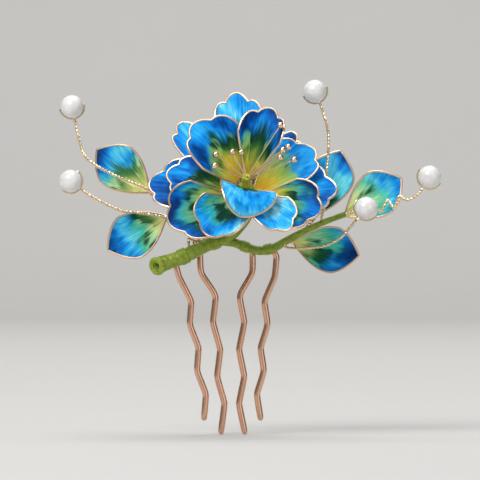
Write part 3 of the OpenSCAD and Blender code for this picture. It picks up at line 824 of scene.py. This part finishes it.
def silk_web(name, point_at, columns, rows, sizes, dye, laid_at=None):
    """Web of silk: a grid shaped by point_at(across, along, lift), rippled along its fibres and thickened.
    laid_at gives the run of the fibres where it isn't that of the grid."""
    obj = grid(name, columns, rows)
    mesh = obj.data
    if laid_at:
        flat = [laid_at(2 * vertex.co.x, vertex.co.y + 0.5) for vertex in mesh.vertices]
        for loop, spot in zip(mesh.loops, mesh.uv_layers["UVMap"].data):
            spot.uv = flat[loop.vertex_index]
    for vertex in mesh.vertices:
        across, along = 2 * vertex.co.x, vertex.co.y + 0.5
        fold = noise.noise(Vector((across * columns / 7, along * 1.5, dye[2])))
        swell = noise.noise(Vector((across * 2.4, along * 1.8, dye[2] + 5)))
        free = 4 * along * (1 - along) * (1 - across ** 4)
        lift = (fold * sizes.ripple / MM + swell * SWELL) * free
        vertex.co = point_at(across, along, lift) * MM
    for key, three in (("dye", dye[:3]), ("base", dye[3:6])):
        for value in mesh.attributes.new(key, "FLOAT_VECTOR", "POINT").data:
            value.vector = three
    for value in mesh.attributes.new("gather", "FLOAT", "POINT").data:
        value.value = dye[6]
    area = sum(polygon.area for polygon in mesh.polygons)
    apply_modifier(obj, "Silk", "SOLIDIFY", thickness=sizes.silk, offset=0)
    return obj, area


class CombOperator:
    """What the comb's operators share."""

    bl_options = {"REGISTER", "UNDO"}


class COMB_OT_hairpins(CombOperator, bpy.types.Operator):
    """Two nested hairpins of bent round wire with wavy legs"""

    bl_idname = "comb.hairpins"
    bl_label = "Hairpins"

    def execute(self, context):
        colours = context.scene.comb_colours
        copper = finish_of(metal_material, "lacquered copper wire", colours.copper, *LACQUERED)
        for node, name in (("outer_hairpin", "hairpin_outer"), ("inner_hairpin", "hairpin_inner")):
            obj = frame["nodes"][node].copy()
            obj.data = obj.data.copy()
            obj.name = name
            obj.data.name = name
            obj.parent = None
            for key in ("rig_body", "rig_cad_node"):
                if key in obj:
                    del obj[key]
            context.scene.collection.objects.link(obj)
            edit(obj)
            bpy.ops.mesh.remove_doubles(threshold=PIN_MERGE)
            bpy.ops.mesh.tris_convert_to_quads()
            bpy.ops.transform.shrink_fatten(value=PIN_SWELL * MM)
            bpy.ops.object.mode_set(mode="OBJECT")
            apply_modifier(obj, "Round", "SUBSURF", levels=2, render_levels=2)
            settle(obj, copper, "comb", "hairpin_wire", node, crease=60)
        return {"FINISHED"}


class COMB_OT_branch(CombOperator, bpy.types.Operator):
    """Main stem and side branch, each a core wound with floss"""

    bl_idname = "comb.branch"
    bl_label = "Branch"

    def execute(self, context):
        sizes, colours = context.scene.comb_sizes, context.scene.comb_colours
        thread = finish_of(thread_material, GREEN_FLOSS, colours.thread)
        floss = sizes.floss / MM
        axis = FLOWER.to_3x3() @ Vector((0, 0, 1))
        foot = HEART + axis * RECEPTACLE[0][0]
        stem = STUB + [(x, 0, z) for x, z in STEM_LINE[1:]]
        stem += [STEM_ELBOW, foot - axis * STEM_STRAIGHT, foot + axis * STEM_INSET]
        side = [(x, SIDE_Y, z) for x, z in SIDE_LINE]
        branches = (
            ("main_stem", "stem_wound", stem, STEM_GIRTH), ("side_branch", "side_wound", side, SIDE_GIRTH)
        )
        for node, name, line, girth in branches:
            path = even_line(smooth_line(line, 24), BRANCH_STEP)
            swollen = [1 + UNEVEN * noise.noise(p * UNEVEN_RATE) for p in path]
            radii = [lookup(p.x, girth) * s - floss * FLOSS_SINK for p, s in zip(path, swollen)]
            filled = [r + floss * FLOSS_FILL for r in radii]
            core = wire(name + "_core", [path[5:]], 2 * MM, 12, filled[5:])
            winding = wire(name + "_floss", [coil(path, radii, floss * FLOSS_PITCH, 18)], sizes.floss, 1)
            parts = [core, winding]
            if node == "main_stem":
                parts.append(self.cut_end(path, radii[0], sizes.floss))
            settle(join(name, parts), thread, "comb", "branch_thread", node)
        return {"FINISHED"}

    def cut_end(self, path, radius, floss):
        """Rolled end of the stub: the floss turns over the edge and spirals into the hollow middle."""
        out = (path[0] - path[3]).normalized()
        one = out.orthogonal().normalized()
        two = out.cross(one)
        line = []
        steps = 22
        for i in range((len(STUB_SHARES) - 1) * steps + 1):
            share = lookup(i / steps, list(enumerate(STUB_SHARES)))
            high = lookup(i / steps, list(enumerate(STUB_HEIGHTS)))
            line.append(path[0] + out * high + around(one, two, TURN * i / steps) * radius * share)
        return wire("stub_end", [line], floss * STUB_THREAD, 2)


class COMB_OT_bindings(CombOperator, bpy.types.Operator):
    """Thread wound round branch and hairpins in four places"""

    bl_idname = "comb.bindings"
    bl_label = "Bindings"

    def execute(self, context):
        sizes, colours = context.scene.comb_sizes, context.scene.comb_colours
        thread = finish_of(thread_material, GREEN_FLOSS, colours.thread)
        paths = [self.winding(sizes, *row) for row in BINDINGS]
        obj = wire("binding_windings", paths, sizes.binding, 2)
        settle(obj, thread, "comb", "branch_thread", "binding_threads")
        return {"FINISHED"}

    def winding(self, sizes, x, line, girth, y, crowns):
        """Turns of thread drawn tight round the branch at x and the hairpin crowns behind it."""
        half = sizes.binding / MM / 2
        z = lookup(x, line)
        slope = atan2(lookup(x + 1, line) - lookup(x - 1, line), 2)
        circles = [(0, 0, lookup(x, girth))]
        for back, crown in crowns:
            circles.append((back - y, (lookup(x, crown) - z) * cos(slope), PIN_RADIUS))
        turns = round(sizes.binding_width / sizes.binding)
        steps = 48
        path = []
        for i in range(turns * steps + 1):
            angle = TURN * i / steps
            way = (cos(angle), sin(angle))
            far = max(circles, key=lambda c: c[0] * way[0] + c[1] * way[1] + c[2])
            wide = far[2] + half * BINDING_SINK
            local = Vector((
                (i / (turns * steps) - 0.5) * (sizes.binding_width - sizes.binding) / MM,
                far[0] + way[0] * wide,
                far[1] + way[1] * wide,
            ))
            path.append(Matrix.Rotation(-slope, 3, "Y") @ local + Vector((x, y, z)))
        return path


class COMB_OT_heart(CombOperator, bpy.types.Operator):
    """Wound knob that holds the petals, and the pistil of floss strands"""

    bl_idname = "comb.heart"
    bl_label = "Flower heart"

    def execute(self, context):
        sizes, colours = context.scene.comb_sizes, context.scene.comb_colours
        thread = finish_of(thread_material, GREEN_FLOSS, colours.thread)
        floss = sizes.floss / MM
        heights = [RECEPTACLE[0][0] + (RECEPTACLE_TOP - RECEPTACLE[0][0]) * i / 60 for i in range(61)]
        path = [FLOWER @ Vector((0, 0, h)) for h in heights]
        radii = [lookup(h, RECEPTACLE) - floss * FLOSS_SINK for h in heights]
        core = wire("knob_core", [path], 2 * MM, 8, radii)
        winding = wire("knob_floss", [coil(path, radii, floss * FLOSS_PITCH, 24)], sizes.floss, 1)
        settle(join("flower_knob", [core, winding]), thread, "comb", "branch_thread", "receptacle")
        strands = finish_of(thread_material, "silk floss strands, yellow-green", colours.pistil)
        paths = [self.strand(k) for k in range(PISTIL_STRANDS)]
        obj = wire("pistil_strands", paths, PISTIL_STRAND * MM, 3, [wide for _, wide in STRAND])
        settle(obj, strands, "comb", "pistil_thread", "pistil")
        return {"FINISHED"}

    def strand(self, k):
        """One strand of the pistil, from the knob to its own height, a little twisted."""
        ring = PISTIL_RING if k else 0
        top = PISTIL_LENGTH + PISTIL_RISE - PISTIL_STEP * (k % 3)
        path = []
        for t, _ in STRAND:
            angle = TURN * (k / (PISTIL_STRANDS - 1) + PISTIL_TWIST * t)
            narrow = ring * (1 - PISTIL_TAPER * t)
            height = RECEPTACLE_TOP - PISTIL_SINK + (top + PISTIL_SINK) * t
            path.append(FLOWER @ Vector((narrow * cos(angle), narrow * sin(angle), height)))
        return path


class COMB_OT_stamens(CombOperator, bpy.types.Operator):
    """Nine stamens, each a fine wire with a bored metal bead on its end"""

    bl_idname = "comb.stamens"
    bl_label = "Stamens"

    def execute(self, context):
        sizes, colours = context.scene.comb_sizes, context.scene.comb_colours
        gold = finish_of(metal_material, ROSE_GOLD, colours.gold, *PLATED)
        filaments, beads = [], []
        half = sizes.stamen_bead / MM / 2
        bore = half * BEAD_BORE
        low = asin(bore / half)
        profile = [(0, -half * BEAD_FLOOR), (bore, -half * BEAD_FLOOR)]
        outer = [low + (pi - low) * i / 16 for i in range(16)]
        profile += [(half * sin(a), half * cos(a)) for a in outer] + [(0, -half)]
        for k, (azimuth, opening, length, higher) in enumerate(STAMENS):
            turn = Matrix.Rotation(radians(azimuth), 4, "Z")
            turn = turn @ Matrix.Rotation(radians(opening), 4, "Y")
            place = FLOWER @ Matrix.Translation((0, 0, STAMEN_SEAT + higher)) @ turn
            run = length - STAMEN_START - half * BEAD_GRIP
            reach = [STAMEN_START + run * i / 12 for i in range(13)]
            bow = STAMEN_BOW * (1 if k % 2 else -1)
            filaments.append([place @ Vector((bow * sin(pi * r / length), 0, r)) for r in reach])
            end = place @ Matrix.Translation((0, 0, length))
            seat = Matrix.Scale(MM, 4) @ end @ Matrix.Scale(1 / MM, 4)
            beads.append(lathe(f"bead_{k + 1}", profile, seat, 32))
        obj = wire("stamen_wires", filaments, sizes.stamen_wire, 2)
        settle(obj, gold, "comb", "stamen_wire", "stamen_filaments")
        bead = finish_of(metal_material, "polished plated bead", colours.gold, *POLISHED)
        settle(join("stamen_bead_set", beads), bead, "comb", "stamen_bead", "stamen_beads")
        return {"FINISHED"}


class COMB_OT_petals(CombOperator, bpy.types.Operator):
    """Fourteen petals, each a loop of wire with a web of dyed silk"""

    bl_idname = "comb.petals"
    bl_label = "Petals"

    def execute(self, context):
        sizes, colours = context.scene.comb_sizes, context.scene.comb_colours
        gold = finish_of(metal_material, ROSE_GOLD, colours.gold, *PLATED)
        silk = finish_of(petal_silk, "dyed floss silk, petals")
        for k, (petal, dye) in enumerate(zip(PETALS, PETAL_DYES)):
            node = f"petal_{k + 1:02d}"
            rim = even_line(petal_border(petal, 24), RIM_STEP)
            loop = wire(f"rim_{k + 1:02d}", [rim], sizes.petal_wire, 2)
            settle(loop, gold, "comb", "petal_wire", node + "_wire")

            def point_at(across, along, lift, petal=petal):
                angle = petal.fan * across
                reach = PETAL_CLAW + (petal_rim(petal, angle) - PETAL_CLAW) * along
                return petal_point(petal, angle, reach, lift)

            web, area = silk_web(f"web_{k + 1:02d}", point_at, *PETAL_GRID, sizes, dye)
            settle(web, silk, "comb", "petal_silk", node + "_silk", crease=80)
            angles = [petal.fan * i / 20 for i in range(21)]
            wide = 2 * max(petal_rim(petal, a) * sine(a) for a in angles)
        return {"FINISHED"}


class COMB_OT_leaves(CombOperator, bpy.types.Operator):
    """Five leaves, each a loop of wire on a twisted stem with a web of dyed silk"""

    bl_idname = "comb.leaves"
    bl_label = "Leaves"

    def execute(self, context):
        sizes, colours = context.scene.comb_sizes, context.scene.comb_colours
        gold = finish_of(metal_material, ROSE_GOLD, colours.gold, *PLATED)
        silk = finish_of(leaf_silk, "dyed floss silk, leaves")
        for k, (leaf, stem, dye) in enumerate(zip(LEAVES, LEAF_STEMS, LEAF_DYES)):
            node = f"leaf_{k + 1}"
            shares = [LEAF_END * i / 40 for i in range(41)]
            outline = [(t, leaf_half(t)) for t in shares] + [(1, 0)]
            outline += [(t, -leaf_half(t)) for t in reversed(shares)]
            loop = [leaf_point(leaf, t, u, 0) for t, u in outline]
            there, back = self.strands(stem, leaf)
            rim = even_line(there + loop + back, RIM_STEP)
            edge = wire(f"leaf_rim_{k + 1}", [rim], sizes.petal_wire, 2)
            settle(edge, gold, "comb", "leaf_wire", node + "_wire")

            def point_at(across, along, lift, leaf=leaf):
                t = LEAF_END * along
                return leaf_point(leaf, t, -across * leaf_half(t), lift)

            web, area = silk_web(f"leaf_web_{k + 1}", point_at, *LEAF_GRID, sizes, dye, leaf_fan)
            settle(web, silk, "comb", "leaf_silk", node + "_silk", crease=80)
        return {"FINISHED"}

    def strands(self, stem, leaf):
        """The leaf wire's two ends, twisted round each other from the branch to the leaf."""
        path = even_line(smooth_line([*stem, leaf.base], 10), STRAND_STEP)
        left = leaf_point(leaf, 0, 1, 0) - leaf_point(leaf, 0, 0, 0)
        turns = round(len(path) * STRAND_STEP / LEAF_LAY)
        there, back = twisted(path, left, turns, STRAND_HALF)
        return there[:-2], back[:-2][::-1]


class COMB_OT_sprays(CombOperator, bpy.types.Operator):
    """Five stalks of twisted wire, each ending in a loop through its pearl"""

    bl_idname = "comb.sprays"
    bl_label = "Pearl sprays"

    def execute(self, context):
        sizes, colours = context.scene.comb_sizes, context.scene.comb_colours
        gold = finish_of(metal_material, "plated wire, pale gold", colours.spray, *PLATED)
        nacre = finish_of(pearl_material, "nacre-lacquered glass pearl", colours.pearl)
        for letter, (points, forward, seat) in STALKS.items():
            low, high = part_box("pearl_" + letter)
            centre, radius = (low + high) / 2 / MM, (high.y - low.y) / 2 / MM
            path = self.wire_line(points, forward, seat, centre, radius, sizes)
            obj = wire("twist_" + letter, [path], sizes.spray_wire, 2)
            settle(obj, gold, "spray_" + letter, "spray_wire", "stalk_" + letter)
            way = self.heading(points, centre)
            bore = sizes.spray_wire / MM / 2 + PEARL_CLEARANCE
            rim = asin(bore / radius)
            turned = [rim + (pi - 2 * rim) * i / 40 for i in range(41)]
            profile = [(radius * sin(a), radius * cos(a)) for a in turned]
            profile += [(bore, 0.5 * radius * (i - 2)) for i in (0.5, 1, 2, 3, 3.5)]
            profile.append(profile[0])
            place = Matrix.Translation(centre * MM) @ Matrix.Rotation(-way, 4, "Y")
            pearl = lathe("nacre_" + letter, profile, place, 72)
            settle(pearl, nacre, "bead_" + letter, "pearl", "pearl_" + letter)
        return {"FINISHED"}

    def heading(self, points, centre):
        """Angle in the front plane at which the stalk reaches its pearl."""
        return atan2(centre.z - points[-1][1], centre.x - points[-1][0])

    def wire_line(self, points, forward, seat, centre, radius, sizes):
        """One wire from the branch up the stalk, round half the pearl, through its bore and back down."""
        way = self.heading(points, centre)
        ahead = Vector((cos(way), 0, sin(way)))
        across = Vector((-sin(way), 0, cos(way)))
        half = sizes.spray_wire / MM / 2
        cradle = radius + PEARL_CLEARANCE + half
        foot = centre - ahead * cradle
        line = [*points, (foot.x, foot.z)]
        last = len(line) - 1
        placed = [(x, STALK_Y - forward * (k / last) ** 2, z) for k, (x, z) in enumerate(line)]
        path = even_line(smooth_line([seat, *placed], 16), STALK_STEP)
        turns = round(STALK_STEP * len(path) / (sizes.spray_lay / MM))
        there, back = twisted(path, across, turns, half * STALK_CLOSE)
        quarter = [radians(CRADLE_START + (90 - CRADLE_START) * i / 16) for i in range(17)]
        up = [centre + (across * sin(a) - ahead * cos(a)) * cradle for a in quarter]
        down = [centre - (across * sin(a) + ahead * cos(a)) * cradle for a in quarter]
        mouth = across * (radius + BORE_OVERHANG)
        return there[:-1] + up + [centre + mouth, centre - mouth] + down[::-1] + back[:-1][::-1]


class COMB_OT_stage(CombOperator, bpy.types.Operator):
    """Pale floor and backdrop, soft lights and the camera"""

    bl_idname = "comb.stage"
    bl_label = "Stage"

    def execute(self, context):
        colours = context.scene.comb_colours
        floor = grid("floor_sweep", 2, 96)
        level = cad_box[0][2] - FLOOR_GAP
        flat, curve = WALL_START - FLOOR_NEAR, WALL_BEND * pi / 2
        for vertex in floor.data.vertices:
            s = (vertex.co.y + 0.5) * (flat + curve + WALL_HIGH)
            if s < flat:
                y, z = FLOOR_NEAR + s, 0
            elif s < flat + curve:
                turn = (s - flat) / WALL_BEND
                y, z = WALL_START + WALL_BEND * sin(turn), WALL_BEND * (1 - cos(turn))
            else:
                y, z = WALL_Y, WALL_BEND + s - flat - curve
            vertex.co = (vertex.co.x * FLOOR_WIDE, y, level + z)
        pick(floor)
        bpy.ops.object.shade_smooth()
        floor.data.materials.append(finish_of(plain_material, "matt painted board", colours.floor))
        for name, row in LAMPS.items():
            self.lamp(name, *row)
        world = context.scene.world or bpy.data.worlds.new("studio")
        context.scene.world = world
        world.use_nodes = True
        sky = world.node_tree.nodes["Background"]
        sky.inputs["Color"].default_value = linear(SKY_COLOUR)
        sky.inputs["Strength"].default_value = SKY_STRENGTH
        self.camera(context)
        context.scene.view_settings.view_transform = "Standard"
        return {"FINISHED"}

    def lamp(self, name, place, target, size, power):
        """Square soft lamp that looks at the target."""
        bpy.ops.object.light_add(type="AREA", location=place)
        lamp = added(name + "_lamp")
        lamp.data.size = size
        lamp.data.energy = power
        way = Vector(target) - Vector(place)
        lamp.rotation_euler = way.to_track_quat("-Z", "Y").to_euler()

    def camera(self, context):
        """Camera straight in front, far off with a long lens, framed as the photograph is."""
        x, z = CAMERA_AIM
        bpy.ops.object.camera_add(location=(x * MM, -CAMERA_FAR, z * MM), rotation=(pi / 2, 0, 0))
        camera = added("front_camera")
        camera.data.sensor_width = SENSOR
        camera.data.lens = SENSOR * CAMERA_FAR / CAMERA_SHOWN
        context.scene.camera = camera


OPERATORS = (
    COMB_OT_hairpins, COMB_OT_branch, COMB_OT_bindings, COMB_OT_heart, COMB_OT_stamens, COMB_OT_petals,
    COMB_OT_leaves, COMB_OT_sprays, COMB_OT_stage,
)


class COMB_PT_panel(bpy.types.Panel):
    """Sidebar panel with the comb's sizes, colours and pieces"""

    bl_idname = "COMB_PT_panel"
    bl_label = "Flower hair comb"
    bl_space_type = "VIEW_3D"
    bl_region_type = "UI"
    bl_category = "Comb"

    def draw(self, context):
        for group in (context.scene.comb_sizes, context.scene.comb_colours):
            for key in group.__annotations__:
                self.layout.prop(group, key)
        for operator in OPERATORS:
            self.layout.operator(operator.bl_idname)


CLASSES = (CombSizes, CombColours, *OPERATORS, COMB_PT_panel)


def register():
    """Adds the comb's classes and its settings to Blender."""
    for each in CLASSES:
        bpy.utils.register_class(each)
    bpy.types.Scene.comb_sizes = bpy.props.PointerProperty(type=CombSizes)
    bpy.types.Scene.comb_colours = bpy.props.PointerProperty(type=CombColours)


def unregister():
    """Takes them out again."""
    del bpy.types.Scene.comb_colours
    del bpy.types.Scene.comb_sizes
    for each in reversed(CLASSES):
        bpy.utils.unregister_class(each)


def main():
    """Builds the comb and its stage."""
    register()
    for operator in OPERATORS:
        group, name = operator.bl_idname.split(".")
        result = getattr(getattr(bpy.ops, group), name)()
        if "FINISHED" not in result:
            raise RuntimeError(f"{operator.bl_idname} did not finish")


if __name__ == "__main__":
    main()
